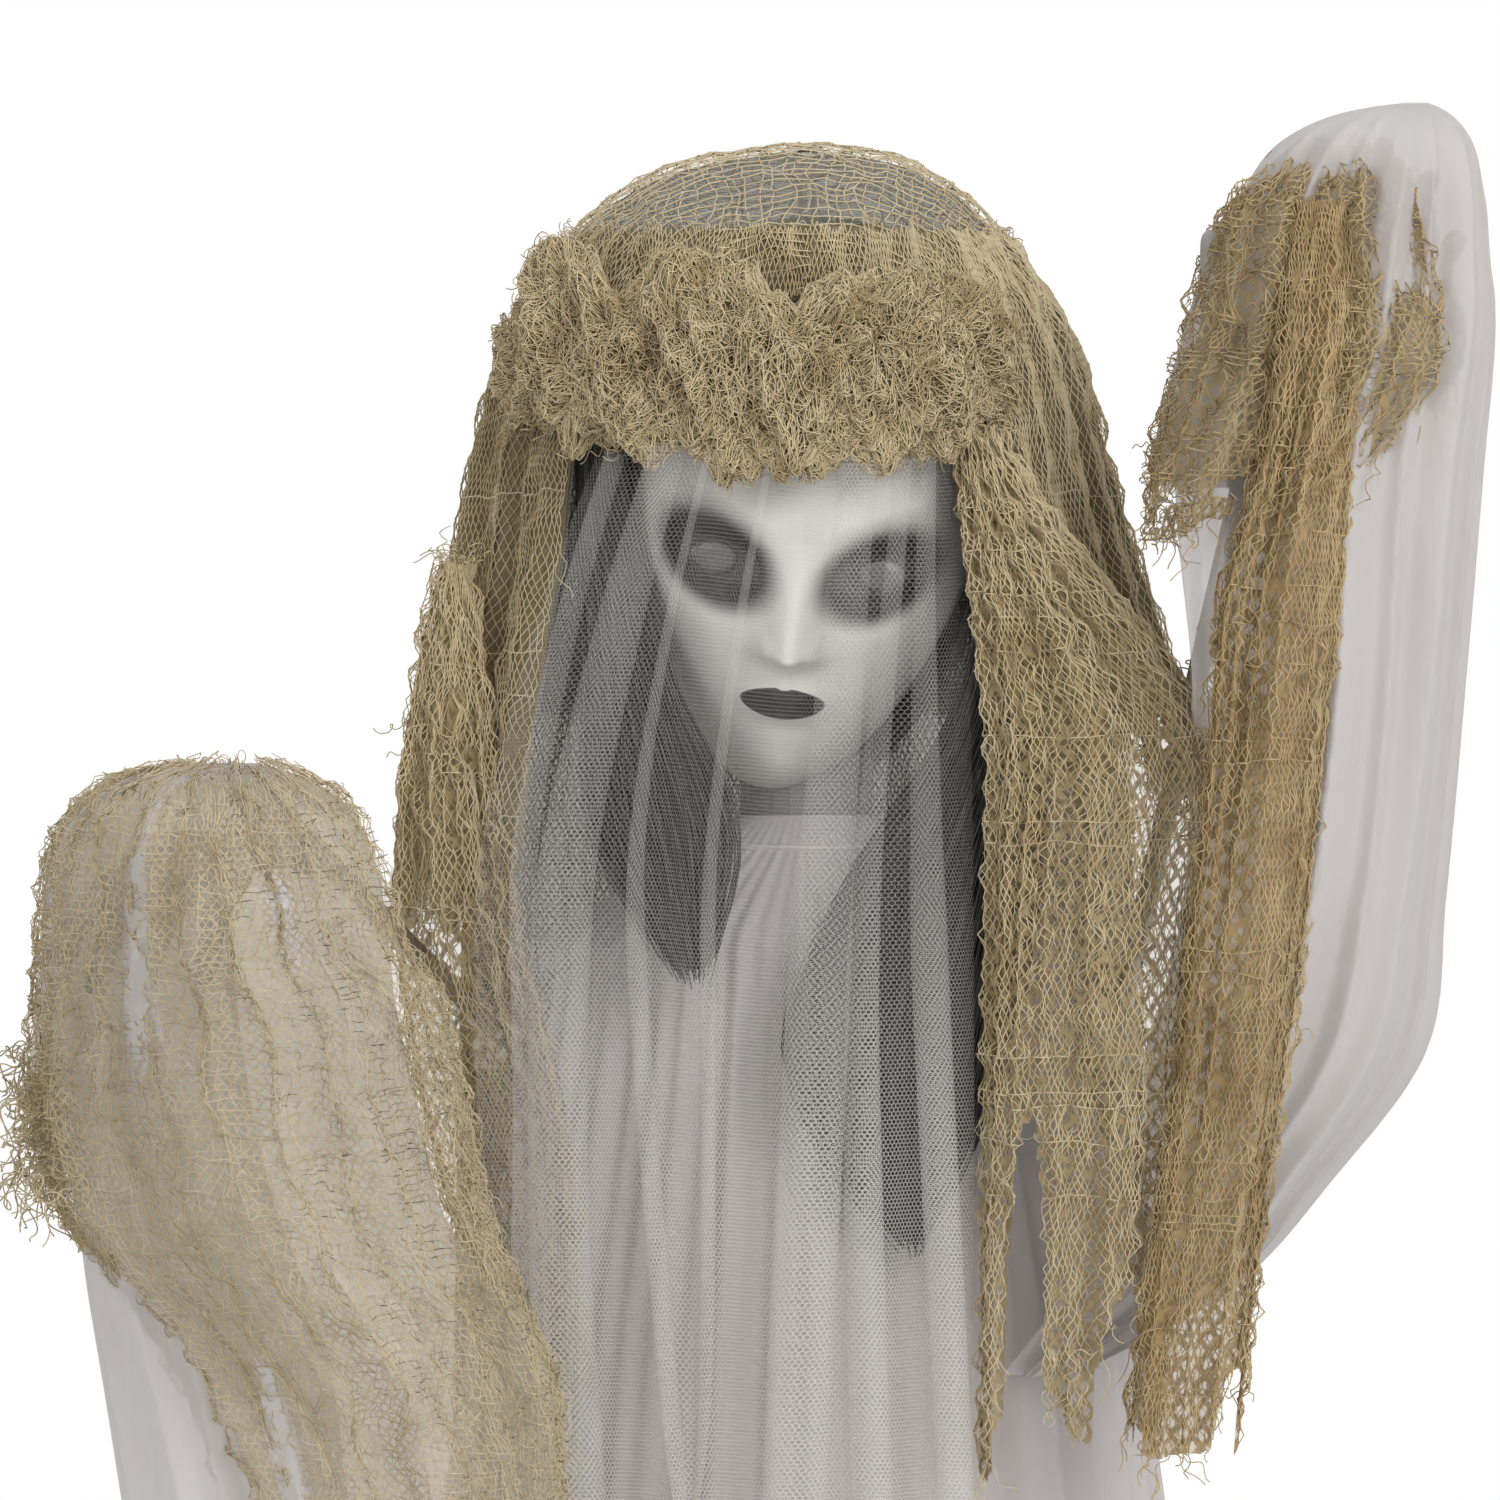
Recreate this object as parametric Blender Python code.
"""Hanging animated ghost figure: a veiled head that turns and two arms that rise and fall in turn.

Metres, +Z up. The figure faces -Y. The origin is where the hook bears in the hanging eye.
Left and right are the figure's own: its left arm, the raised one, is on +X.
"""

import math

import bmesh
import bpy
from mathutils import Matrix, Vector

for old in list(bpy.data.objects):
    bpy.data.objects.remove(old, do_unlink=True)

# Clearances shared by every piece
GAP = 0.0003
RUN = 0.0005
CUT_OVERRUN = 0.004
EDGE_ROUND = 0.0012

# Hanging eye and spine rod
EYE_INNER_RADIUS = 0.006
EYE_WIRE_RADIUS = 0.0015
EYE_SHANK_LENGTH = 0.009
ROD_RADIUS = 0.004
ROD_NUT_RADIUS = 0.009
ROD_NUT_HEIGHT = 0.006

# Head: half sizes of the skull, its place, pitch and roll
HEAD_HALF_WIDTH = 0.078
HEAD_HALF_DEPTH = 0.100
HEAD_HALF_HEIGHT = 0.124
HEAD_PLACE = Vector((-0.002, -0.014, -0.166))
HEAD_PITCH = math.radians(18)
HEAD_ROLL = math.radians(6.5)
HEAD_WALL = 0.0025
HEAD_SEAM = 0.0006
HEAD_ROD_HOLE = 0.0065
NOSE_HEIGHT = 0.022
BROW_HEIGHT = 0.006
SOCKET_DEPTH = 0.010
LIP_HEIGHT = 0.006
CHIN_HEIGHT = 0.007
EYE_LENS_HALF_WIDTH = 0.015
EYE_LENS_HALF_HEIGHT = 0.008
EYE_LENS_DEPTH = 0.004

# Head turning gear
HEAD_PLATE_Z = -0.214
HEAD_PLATE_THICKNESS = 0.003
HEAD_GEARBOX_SIDE = 0.046
HEAD_GEARBOX_HEIGHT = 0.020
HEAD_MOTOR_RADIUS = 0.010
HEAD_MOTOR_HEIGHT = 0.028
ROD_HUB_RADIUS = 0.009
ROD_COLLAR_HEIGHT = 0.007

# Neck
NECK_RADIUS = 0.030
NECK_WALL = 0.003
NECK_TOP_Z = -0.262
NECK_RUN = 0.008

# Mechanism housing in the chest
HOUSING_HALF_WIDTH = 0.085
HOUSING_HALF_DEPTH = 0.0355
HOUSING_TOP_Z = -0.360
HOUSING_HEIGHT = 0.100
HOUSING_WALL = 0.0025
SCREW_HEAD_RADIUS = 0.0032
SCREW_HEAD_HEIGHT = 0.0020
SCREW_SHANK_RADIUS = 0.0015
SCREW_LENGTH = 0.010

# Arm drive: gears of one module on shafts along X
SHAFT_DROP = 0.040
SHAFT_RADIUS = 0.005
BUSH_WALL = 0.003
BUSH_FLANGE = 0.003
GEAR_MODULE = 0.0015
GEAR_WIDTH = 0.006
GEAR_PLACE_X = 0.018
LEFT_GEAR_TEETH = 24
LEFT_PINION_TEETH = 12
RIGHT_GEAR_TEETH = 20
RIGHT_PINION_TEETH = 10
IDLER_TEETH = 12
DRIVE_SHAFT_RADIUS = 0.003
IDLER_PIN_RADIUS = 0.002
BRACKET_THICKNESS = 0.008
BRACKET_HALF_DEPTH = 0.022
MOTOR_RADIUS = 0.013
MOTOR_LENGTH = 0.038
MOTOR_PLATE_THICKNESS = 0.0025
MOTOR_PLACE_X = 0.030

# Electronics in the housing
BOARD_WIDTH = 0.044
BOARD_HEIGHT = 0.040
BOARD_THICKNESS = 0.0016
BOARD_PLACE_Y = 0.0135
BOARD_PLACE_X = -0.056
SPEAKER_RADIUS = 0.018
SPEAKER_DEPTH = 0.008
SPEAKER_SLOT_WIDTH = 0.0022
SENSOR_RADIUS = 0.006
SENSOR_FLANGE = 0.002
SENSOR_REACH = 0.005
SENSOR_PLACE_X = 0.050
BUTTON_RADIUS = 0.0055
BUTTON_FLANGE = 0.0018
BUTTON_FLANGE_THICKNESS = 0.0015
BUTTON_REACH = 0.004
BUTTON_TRAVEL = 0.002
SPRING_RADIUS = 0.0045
SPRING_WIRE = 0.0007
SWITCH_WIDTH = 0.005
SWITCH_HEIGHT = 0.004
SWITCH_REACH = 0.003
SWITCH_TRAVEL = 0.005
SWITCH_FLANGE_HEIGHT = 0.009
SWITCH_PLACE_X = 0.052
CONTROL_PLACE_Z_SHARE = 0.72

# Battery box under the housing
CELL_RADIUS = 0.00705
CELL_LENGTH = 0.0485
CELL_COUNT = 3
BATTERY_WALL = 0.002
BATTERY_END_ROOM = 0.002
DOOR_THICKNESS = 0.0018
DOOR_GROOVE = 0.0010
DOOR_GRIP_HEIGHT = 0.0012

# Arms: each wrist as seen from its shoulder hub, and the wire arm
HUB_INNER_X = 0.128
HUB_LENGTH = 0.022
HUB_RADIUS = 0.014
ARM_ROD_RADIUS = 0.005
ARM_SOCKET_FLOOR = 0.004
HAND_SOCKET_DEPTH = 0.008
HAND_START_SHARE = 0.2
WRIST_LEFT = Vector((0.047, -0.114, 0.234))
WRIST_RIGHT = Vector((-0.085, -0.235, 0.105))

# Hands: the way each points, the way across its palm and how far its fingers curl at each joint
LEFT_REACH = Vector((0.44, -0.10, 0.90))
LEFT_ACROSS = Vector((-0.9, 0, 0.4))
LEFT_CURL = math.radians(6)
RIGHT_REACH = Vector((-0.33, -0.82, -0.28))
RIGHT_ACROSS = Vector((0.88, -0.45, 0))
RIGHT_CURL = math.radians(-20)
PALM_LENGTH = 0.100
PALM_HALF_WIDTH = 0.036
FINGER_LENGTH = 0.086
FINGER_RADIUS = 0.0068
WRIST_RADIUS = 0.022

# Cloth and soft pieces
CLOTH = 0.0018
ROBE_LENGTH = 1.190
ROBE_SHOULDER_HALF_WIDTH = 0.118
ROBE_HEM_HALF_WIDTH = 0.235
ROBE_CHEST_HALF_DEPTH = 0.062
ROBE_HEM_HALF_DEPTH = 0.165
ROBE_FOLD = 0.012
ARMHOLE_HALF_HEIGHT = 0.030
HOOD_HALF_WIDTH = 0.190
HOOD_HALF_DEPTH = 0.130
HOOD_SIDE_DROP = 0.272
HOOD_BACK_DROP = 0.700
HOOD_FOLD = 0.007
WREATH_HALF_WIDTH = 0.125
WREATH_HALF_DEPTH = 0.140
WREATH_SHIFT = -0.014
WREATH_TOP_Z = -0.060
WREATH_HALF_HEIGHT = 0.041
WREATH_HALF_THICKNESS = 0.012
WREATH_INNER_SHARE = 2.19
VEIL_LENGTH = 0.720
VEIL_HALF_WIDTH = 0.108
VEIL_SHIFT = -0.034
VEIL_FRONT_Y = -0.146
VEIL_FOLD = 0.004
FALL_FOLD = 0.005
LEFT_FALL_LENGTH = 0.330
RIGHT_FALL_LENGTH = 0.345
HAIR_THICKNESS = 0.012
HAIR_SEAT = 0.0012
HAIR_LOCK_WIDTH = 0.046
HAIR_LOCK_DEPTH = 0.010
LEFT_LOCK_LENGTH = 0.335
RIGHT_LOCK_LENGTH = 0.240
SLEEVE_FOLD = 0.006

TURN = 2 * math.pi


def material(name, colour, roughness, metallic=0.0):
    """A Principled material of one colour."""
    made = bpy.data.materials.new(name)
    made.use_nodes = True
    shader = made.node_tree.nodes["Principled BSDF"]
    shader.inputs["Base Color"].default_value = (*colour, 1)
    shader.inputs["Roughness"].default_value = roughness
    shader.inputs["Metallic"].default_value = metallic
    return made


STEEL = ((0.62, 0.62, 0.64), 0.32, 1.0)
BLACK_PLASTIC = ((0.03, 0.03, 0.032), 0.45, 0.0)
NYLON = ((0.78, 0.77, 0.72), 0.5, 0.0)
MASK_WHITE = ((0.82, 0.83, 0.83), 0.42, 0.0)
HAND_GREY = ((0.45, 0.44, 0.42), 0.55, 0.0)
CHEESECLOTH = ((0.66, 0.56, 0.38), 0.95, 0.0)
WHITE_SHEER = ((0.84, 0.82, 0.83), 0.7, 0.0)
TULLE = ((0.80, 0.78, 0.76), 0.8, 0.0)
HAIR_GREY = ((0.10, 0.10, 0.10), 0.8, 0.0)
BOARD_GREEN = ((0.05, 0.22, 0.09), 0.5, 0.0)
LENS_WHITE = ((0.75, 0.77, 0.78), 0.15, 0.0)
CELL_GREY = ((0.25, 0.26, 0.28), 0.35, 0.6)


def put(name, bm, look, smooth=True):
    """Turn a bmesh into a named object with its own material."""
    bmesh.ops.recalc_face_normals(bm, faces=bm.faces)
    mesh = bpy.data.meshes.new(name)
    bm.to_mesh(mesh)
    bm.free()
    piece = bpy.data.objects.new(name, mesh)
    bpy.context.collection.objects.link(piece)
    mesh.materials.append(material(name, *look))
    if smooth:
        mesh.shade_smooth()
        mesh.set_sharp_from_angle(angle=math.radians(35))
    return piece


def cut(piece, cutter, operation="DIFFERENCE"):
    """Cut one piece with another object, which is then only a guide."""
    boolean = piece.modifiers.new("cut", "BOOLEAN")
    boolean.object = cutter
    boolean.operation = operation
    cutter.hide_render = True
    cutter.display_type = "WIRE"
    return piece


def rounded(piece, width=EDGE_ROUND):
    """A small bevel on the sharp edges."""
    bevel = piece.modifiers.new("round", "BEVEL")
    bevel.width = width
    bevel.segments = 1
    bevel.limit_method = "ANGLE"
    return piece


def block(name, low, high, look=BLACK_PLASTIC):
    """A box between two corners."""
    bm = bmesh.new()
    low = Vector(low)
    high = Vector(high)
    size = high - low
    place = Matrix.Translation((low + high) / 2) @ Matrix.Diagonal((*size, 1))
    bmesh.ops.create_cube(bm, size=1, matrix=place)
    return put(name, bm, look, smooth=False)


AXES = {
    "X": Matrix(((0, 0, 1), (0, 1, 0), (-1, 0, 0))).to_4x4(),
    "Y": Matrix(((1, 0, 0), (0, 0, 1), (0, -1, 0))).to_4x4(),
    "Z": Matrix.Identity(4),
}


def turned(name, profile, centre, axis="Z", look=STEEL, sides=20):
    """A body turned from (radius, along) points; a profile clear of the axis closes on itself."""
    bm = bmesh.new()
    place = Matrix.Translation(centre) @ AXES[axis]
    solid = profile[0][0] == 0
    rings = []
    for radius, along in profile:
        if radius == 0:
            rings.append([bm.verts.new(place @ Vector((0, 0, along)))])
            continue
        ring = []
        for k in range(sides):
            angle = TURN * k / sides
            point = Vector((radius * math.cos(angle), radius * math.sin(angle), along))
            ring.append(bm.verts.new(place @ point))
        rings.append(ring)
    pairs = list(zip(rings, rings[1:]))
    if not solid:
        pairs.append((rings[-1], rings[0]))
    for ring, after in pairs:
        for k in range(sides):
            n = (k + 1) % sides
            if len(ring) == 1:
                bm.faces.new((ring[0], after[n], after[k]))
            elif len(after) == 1:
                bm.faces.new((ring[k], ring[n], after[0]))
            else:
                bm.faces.new((ring[k], ring[n], after[n], after[k]))
    return put(name, bm, look)


def rod_between(name, low, high, centre, axis, radius, look=STEEL, sides=16):
    """A plain round bar from low to high along its axis."""
    return turned(name, ((0, low), (radius, low), (radius, high), (0, high)), centre, axis, look, sides)


def tube_between(name, low, high, centre, axis, inner, outer, look=STEEL, sides=20):
    """A plain round tube from low to high along its axis."""
    profile = ((inner, low), (outer, low), (outer, high), (inner, high))
    return turned(name, profile, centre, axis, look, sides)


def smooth_row(table, share):
    """The table's values at a share, on a smooth curve through its rows."""
    last = len(table) - 1
    here = 0
    while here < last - 1 and share > table[here + 1][0]:
        here += 1
    start = table[here][0]
    width = table[here + 1][0] - start
    s = min(max((share - start) / width, 0), 1)
    values = []
    for column in range(1, len(table[0])):
        ends = (table[here][column], table[here + 1][column])
        slopes = []
        for k in (here, here + 1):
            before = table[max(k - 1, 0)]
            after = table[min(k + 1, last)]
            slopes.append((after[column] - before[column]) / (after[0] - before[0]) * width)
        h = (2 * s**3 - 3 * s**2 + 1, s**3 - 2 * s**2 + s, 3 * s**2 - 2 * s**3, s**3 - s**2)
        values.append(h[0] * ends[0] + h[1] * slopes[0] + h[2] * ends[1] + h[3] * slopes[1])
    return values


def sheet(name, place, downs, columns, look, closed=False, skip=None, apex=False, thickness=CLOTH):
    """A cloth as a thin closed solid: place(down, across) gives each point of its middle surface."""
    bm = bmesh.new()
    across = columns if closed else columns + 1
    grid = []
    for row, down in enumerate(downs):
        if apex and row == 0:
            grid.append([bm.verts.new(place(down, 0))] * across)
        else:
            grid.append([bm.verts.new(place(down, j / columns)) for j in range(across)])
    for i in range(len(downs) - 1):
        for j in range(columns):
            n = (j + 1) % across
            middle = ((downs[i] + downs[i + 1]) / 2, (j + 0.5) / columns)
            if skip and skip(*middle):
                continue
            corners = []
            for vert in (grid[i][j], grid[i + 1][j], grid[i + 1][n], grid[i][n]):
                if vert not in corners:
                    corners.append(vert)
            bm.faces.new(corners)
    bmesh.ops.delete(bm, geom=[v for v in bm.verts if not v.link_faces], context="VERTS")
    piece = put(name, bm, look)
    solid = piece.modifiers.new("cloth", "SOLIDIFY")
    solid.thickness = thickness
    solid.offset = 0
    return piece


def even(count):
    """Shares from 0 to 1 in equal steps."""
    return [k / count for k in range(count + 1)]


def ring_point(z, angle, centre, halves, wave=0):
    """A point of a ring round a standing axis; angle 0 faces -Y and grows towards +X."""
    left, right, front, back = halves
    side = math.sin(angle)
    ahead = math.cos(angle)
    wide = (right if side > 0 else left) + wave
    deep = (front if ahead > 0 else back) + wave
    return Vector((centre[0] + wide * side, centre[1] - deep * ahead, z))


def loft(name, sections, look):
    """A closed body through sections, each a ring of points, with its ends drawn to a point."""
    bm = bmesh.new()
    rings = [[bm.verts.new(point) for point in ring] for ring in sections]
    count = len(rings[0])
    for ring, after in zip(rings, rings[1:]):
        for k in range(count):
            n = (k + 1) % count
            bm.faces.new((ring[k], ring[n], after[n], after[k]))
    bm.faces.new(rings[0])
    bm.faces.new(rings[-1])
    return put(name, bm, look)


# Head surface

HEAD_TURN = Matrix.Rotation(HEAD_ROLL, 4, "Y") @ Matrix.Rotation(HEAD_PITCH, 4, "X")
HEAD_FRAME = Matrix.Translation(HEAD_PLACE) @ HEAD_TURN


def bump(value, middle, spread):
    """A soft bell from 0 to 1."""
    return math.exp(-(((value - middle) / spread) ** 2))


def face_relief(across, up):
    """How far the face stands out at shares of the half width and half height."""
    far = abs(across)
    relief = BROW_HEIGHT * bump(up, 0.17, 0.10) * bump(far, 0.36, 0.30)
    relief -= SOCKET_DEPTH * bump(up, 0.02, 0.13) * bump(far, 0.42, 0.20)
    ridge = min(max((0.14 - up) / 0.40, 0), 1)
    fall = 1 if up > -0.26 else bump(up, -0.26, 0.05)
    relief += NOSE_HEIGHT * ridge * fall * bump(far, 0, 0.10 + 0.07 * ridge)
    relief += LIP_HEIGHT * bump(up, -0.47, 0.07) * bump(far, 0, 0.27)
    relief += CHIN_HEIGHT * bump(up, -0.80, 0.13) * bump(far, 0, 0.26)
    return relief


def head_point(around, down, inset=0, relief=True):
    """A point of the head: around 0 is the face, down runs from 0 at the crown to pi."""
    up = math.cos(down)
    ring = math.sin(down) ** 0.86
    jaw = 1 - 0.36 * max(-up - 0.10, 0) ** 1.15
    front = max(math.cos(around), 0)
    wide = (HEAD_HALF_WIDTH - inset) * ring * jaw
    deep = (HEAD_HALF_DEPTH - inset) * ring
    if math.cos(around) < 0:
        deep *= 1 - 0.30 * max(-up, 0)
    x = wide * math.sin(around)
    y = -deep * math.cos(around) * (1 - 0.10 * front * (1 - ring))
    if relief and front > 0:
        y -= face_relief(math.sin(around) * ring, up) * front
    return HEAD_FRAME @ Vector((x, y, (HEAD_HALF_HEIGHT - inset) * up))


def head_shell(name, angles, downs, outer, inner, relief, look, skip=None):
    """A wall of the head between two insets, as a closed body with stitched edges."""
    bm = bmesh.new()
    layers = []
    for inset in (outer, inner):
        layers.append([[bm.verts.new(head_point(a, d, inset, relief)) for a in angles] for d in downs])
    edges = {}
    for i in range(len(downs) - 1):
        for j in range(len(angles) - 1):
            if skip and skip((angles[j] + angles[j + 1]) / 2, (downs[i] + downs[i + 1]) / 2):
                continue
            cell = ((i, j), (i + 1, j), (i + 1, j + 1), (i, j + 1))
            for layer in layers:
                bm.faces.new([layer[r][c] for r, c in cell])
            for a, b in zip(cell, cell[1:] + cell[:1]):
                key = (min(a, b), max(a, b))
                edges[key] = edges.get(key, 0) + 1
    for (a, b), count in edges.items():
        if count == 1:
            sides = [layers[0][a[0]][a[1]], layers[0][b[0]][b[1]]]
            bm.faces.new(sides + [layers[1][b[0]][b[1]], layers[1][a[0]][a[1]]])
    bmesh.ops.delete(bm, geom=[v for v in bm.verts if not v.link_faces], context="VERTS")
    return put(name, bm, look)


def spread(low, high, count):
    """Evenly spaced values from low to high."""
    return [low + (high - low) * k / count for k in range(count + 1)]


CROWN_START = math.radians(4)
NAPE_END = math.radians(168)
SEAM_ANGLE = math.pi / 2 - HEAD_SEAM / HEAD_HALF_DEPTH


def rod_hole(name, radius, low, high):
    """A standing cutter round the spine rod."""
    return rod_between(name, low, high, (0, 0, 0), "Z", radius, STEEL, 24)


def make_head():
    """Mask, skull and hair, with the holes that the rod and neck pass through."""
    top_cutter = rod_hole("rod_cutter", HEAD_ROD_HOLE, HEAD_PLACE.z, CUT_OVERRUN)
    neck_bottom = HEAD_PLACE.z - 2 * HEAD_HALF_HEIGHT
    neck_cutter = rod_hole("neck_cutter", NECK_RADIUS + NECK_RUN, neck_bottom, HEAD_PLATE_Z - NECK_RUN)
    mask_angles = spread(-SEAM_ANGLE, SEAM_ANGLE, 18)
    mask_downs = spread(math.radians(30), NAPE_END, 20)
    mask = head_shell("face_mask", mask_angles, mask_downs, 0, HEAD_WALL, True, MASK_WHITE)
    cut(mask, neck_cutter)
    seam = SEAM_ANGLE + 2 * HEAD_SEAM / HEAD_HALF_DEPTH
    back_angles = spread(seam, TURN - seam, 12)
    back_downs = [CROWN_START, math.radians(17)] + mask_downs[::2]
    skull = head_shell("skull_shell", back_angles, back_downs, 0, HEAD_WALL, False, MASK_WHITE)
    cut(skull, neck_cutter)
    cut(skull, top_cutter)
    hair_angles = mask_angles[-3:] + back_angles + [TURN + angle for angle in mask_angles[:3]]
    cap = head_shell("hair_cap", hair_angles, back_downs[:-3], -HAIR_SEAT - HAIR_THICKNESS, -HAIR_SEAT,
                     True, HAIR_GREY)
    cut(cap, top_cutter)


def lock(name, side, length, shares, top_share):
    """A hanging lock of hair, from the temple down over the chest; top_share sets it on the hair cap."""
    sections = []
    count = 10
    top = head_point(side * math.radians(74), math.radians(74), -top_share * HAIR_THICKNESS)
    for k in range(9):
        t = k / 8
        along, reach, ahead, wide, deep = (t, *smooth_row(shares, t))
        middle = Vector((top.x * reach, top.y - HEAD_HALF_DEPTH * ahead, top.z - length * along))
        ring = []
        for n in range(count):
            angle = TURN * n / count
            x = HAIR_LOCK_WIDTH * wide * math.cos(angle)
            y = HAIR_LOCK_DEPTH * deep * math.sin(angle)
            ring.append(middle + Vector((x, y, 0)))
        sections.append(ring)
    return loft(name, sections, HAIR_GREY)


LEFT_LOCK_SHARES = (
    (0, 1.00, 0.00, 0.17, 0.50),
    (0.30, 0.92, 0.16, 0.40, 0.90),
    (0.55, 0.62, 0.30, 0.86, 1.00),
    (0.75, 0.42, 0.36, 1.00, 0.90),
    (0.90, 0.42, 0.36, 0.62, 0.70),
    (1, 0.48, 0.36, 0.12, 0.30),
)
LEFT_LOCK_TOP_SHARE = 1.75
RIGHT_LOCK_TOP_SHARE = 2.20
RIGHT_LOCK_SHARES = (
    (0, 1.00, 0.00, 0.17, 0.50),
    (0.45, 0.84, 0.16, 0.40, 0.90),
    (0.75, 0.66, 0.28, 0.66, 1.00),
    (1, 0.54, 0.34, 0.17, 0.40),
)


EYE_AROUND_SHARE = 0.44


def eye_shape(name, side, room):
    """An eye lens, or with some room round it the hole that it sits in."""
    bm = bmesh.new()
    bmesh.ops.create_uvsphere(bm, u_segments=12, v_segments=8, radius=1)
    middle = head_point(side * EYE_AROUND_SHARE, math.radians(89), HEAD_WALL / 2)
    scale = Matrix.Diagonal((EYE_LENS_HALF_WIDTH + room, EYE_LENS_DEPTH + room, EYE_LENS_HALF_HEIGHT + room, 1))
    bm.transform(Matrix.Translation(middle) @ HEAD_TURN @ scale)
    return put(name, bm, LENS_WHITE)


def make_eyes():
    """The light-up eye lenses, seated in holes in the mask's sockets."""
    for side, label in ((1, "left"), (-1, "right")):
        eye_shape("eye_lens_" + label, side, 0)
        cut(bpy.data.objects["face_mask"], eye_shape("eye_cutter_" + label, side, GAP))


def head_solid(name, inset):
    """The head's outline as a closed body, for cutting what fits inside it."""
    downs = spread(CROWN_START, NAPE_END, 16)
    rings = [[head_point(TURN * k / 24, down, inset, False) for k in range(24)] for down in downs]
    return loft(name, rings, MASK_WHITE)


def make_head_drive():
    """Plate, gearbox and motor that turn the head about the spine rod."""
    top = HEAD_PLATE_Z + HEAD_PLATE_THICKNESS
    bore = ROD_HUB_RADIUS + RUN
    plate = block("head_plate", (-HEAD_HALF_WIDTH, -HEAD_HALF_DEPTH * 0.6, HEAD_PLATE_Z),
                  (HEAD_HALF_WIDTH, HEAD_HALF_DEPTH, top))
    cut(plate, head_solid("head_inside", HEAD_WALL + 2 * GAP), "INTERSECT")
    cut(plate, rod_hole("hub_cutter", bore, HEAD_PLATE_Z - CUT_OVERRUN,
                        top + HEAD_GEARBOX_HEIGHT + CUT_OVERRUN))
    half = HEAD_GEARBOX_SIDE / 2
    box_low = top + GAP
    box_top = box_low + HEAD_GEARBOX_HEIGHT
    gearbox = block("head_gearbox", (-half, -half, box_low), (half, half, box_top), NYLON)
    cut(gearbox, bpy.data.objects["hub_cutter"])
    rounded(gearbox)
    corner = half - HEAD_MOTOR_RADIUS
    motor_low = box_top + GAP
    turned("head_motor", ((0, 0), (HEAD_MOTOR_RADIUS, 0), (HEAD_MOTOR_RADIUS, HEAD_MOTOR_HEIGHT),
                          (HEAD_MOTOR_RADIUS / 2, HEAD_MOTOR_HEIGHT + EDGE_ROUND), (0, HEAD_MOTOR_HEIGHT + EDGE_ROUND)),
           (corner, corner, motor_low), "Z", STEEL, 18)


ROD_TOP_Z = -2 * EYE_WIRE_RADIUS - 2 * EYE_INNER_RADIUS + EYE_WIRE_RADIUS - EYE_SHANK_LENGTH


def make_spine():
    """Hanging eye, rod, its nut in the housing and the hub and collar that carry the head."""
    turn_radius = EYE_INNER_RADIUS + EYE_WIRE_RADIUS
    bm = bmesh.new()
    sides = 8
    steps = 20
    centre = Vector((0, 0, -EYE_INNER_RADIUS))
    rings = []
    for k in range(steps):
        angle = TURN * k / steps
        out = Vector((math.sin(angle), 0, math.cos(angle)))
        ring = []
        for n in range(sides):
            lean = TURN * n / sides
            reach = turn_radius + EYE_WIRE_RADIUS * math.cos(lean)
            ring.append(bm.verts.new(centre + out * reach + Vector((0, EYE_WIRE_RADIUS * math.sin(lean), 0))))
        rings.append(ring)
    for k in range(steps):
        for n in range(sides):
            m = (n + 1) % sides
            after = rings[(k + 1) % steps]
            bm.faces.new((rings[k][n], rings[k][m], after[m], after[n]))
    eye = put("hanging_eye", bm, STEEL)
    shank_top = -2 * EYE_INNER_RADIUS - EYE_WIRE_RADIUS
    shank = rod_between("eye_shank", ROD_TOP_Z + GAP, shank_top, (0, 0, 0), "Z", ROD_RADIUS, STEEL, 12)
    cut(eye, shank, "UNION")
    rod_bottom = HOUSING_TOP_Z - HOUSING_WALL - GAP - ROD_NUT_HEIGHT - EDGE_ROUND
    rod_between("spine_rod", rod_bottom, ROD_TOP_Z, (0, 0, 0), "Z", ROD_RADIUS)
    inner = ROD_RADIUS + GAP
    nut_top = HOUSING_TOP_Z - HOUSING_WALL - GAP
    tube_between("rod_nut", nut_top - ROD_NUT_HEIGHT, nut_top, (0, 0, 0), "Z", inner / math.cos(TURN / 12),
                 ROD_NUT_RADIUS, STEEL, 6)
    hub_top = HEAD_PLATE_Z + HEAD_PLATE_THICKNESS + GAP + HEAD_GEARBOX_HEIGHT
    collar_top = HEAD_PLATE_Z - GAP
    collar_radius = ROD_HUB_RADIUS + BUSH_WALL
    turned("rod_hub", ((inner, collar_top - ROD_COLLAR_HEIGHT), (collar_radius, collar_top - ROD_COLLAR_HEIGHT),
                       (collar_radius, collar_top), (ROD_HUB_RADIUS, collar_top), (ROD_HUB_RADIUS, hub_top),
                       (inner, hub_top)), (0, 0, 0), "Z", BLACK_PLASTIC, 24)
    tube_between("neck_tube", HOUSING_TOP_Z + GAP, NECK_TOP_Z, (0, 0, 0), "Z",
                 NECK_RADIUS - NECK_WALL, NECK_RADIUS, HAND_GREY, 24)


# Chest housing

SHAFT_Z = HOUSING_TOP_Z - SHAFT_DROP
HOUSING_BOTTOM_Z = HOUSING_TOP_Z - HOUSING_HEIGHT
FLOOR_Z = HOUSING_BOTTOM_Z + HOUSING_WALL
BUSH_RADIUS = SHAFT_RADIUS + RUN + BUSH_WALL
CONTROL_Z = HOUSING_TOP_Z - HOUSING_HEIGHT * CONTROL_PLACE_Z_SHARE


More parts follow.
